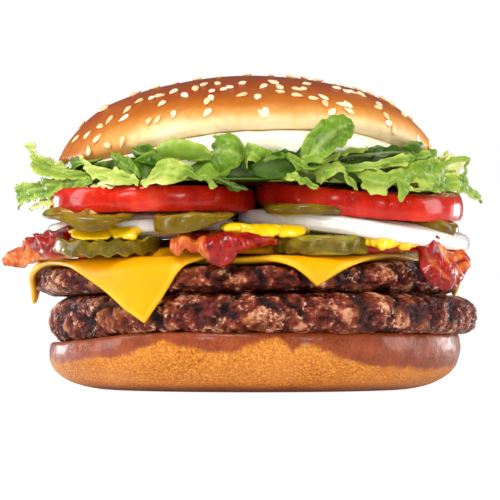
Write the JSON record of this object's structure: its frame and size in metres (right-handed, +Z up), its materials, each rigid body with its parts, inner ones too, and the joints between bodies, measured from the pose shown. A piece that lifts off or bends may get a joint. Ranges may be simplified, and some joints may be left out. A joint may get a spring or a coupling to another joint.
{
  "type": "double cheeseburger",
  "caption": "Tall loaded burger in a sesame bun: beef patties, draped cheese, bacon, pickle, onion, jalapeno, tomato, shredded lettuce and mayonnaise.",
  "frame": {"origin": "middle of the bottom bun's flat underside", "axes": "+Z up through the stack, -Y towards the shown front, +X to the right as seen from the front"},
  "size_m": [0.1283, 0.1211, 0.0839],
  "materials": {
    "bun_crust": "satin",
    "bun_heel": "satin",
    "beef": "rough and greasy",
    "cheese": "satin",
    "pickle": "wet",
    "bacon": "greasy",
    "onion": "wet",
    "jalapeno": "wet",
    "tomato": "wet",
    "lettuce": "satin",
    "mayonnaise": "glossy",
    "mustard": "glossy",
    "sesame": "satin"
  },
  "bodies": {
    "root": {"bottom_bun": "bun_heel", "patty_lower": "beef", "patty_upper": "beef", "cheese_right": "cheese", "cheese_left": "cheese", "pickle_front_left": "pickle", "pickle_front_right": "pickle", "pickle_back_right": "pickle", "pickle_back_left": "pickle", "bacon_left": "bacon", "bacon_centre": "bacon", "bacon_right": "bacon", "bacon_back": "bacon", "onion_left": "onion", "onion_right": "onion", "onion_back": "onion", "tomato_left": "tomato", "tomato_right": "tomato", "tomato_back": "tomato", "jalapeno_left": "jalapeno", "jalapeno_centre": "jalapeno", "jalapeno_inner": "jalapeno", "jalapeno_right": "jalapeno", "jalapeno_back": "jalapeno", "top_bun": "bun_crust", "mayonnaise": "mayonnaise", "lettuce": "lettuce"}
  },
  "joints": []
}
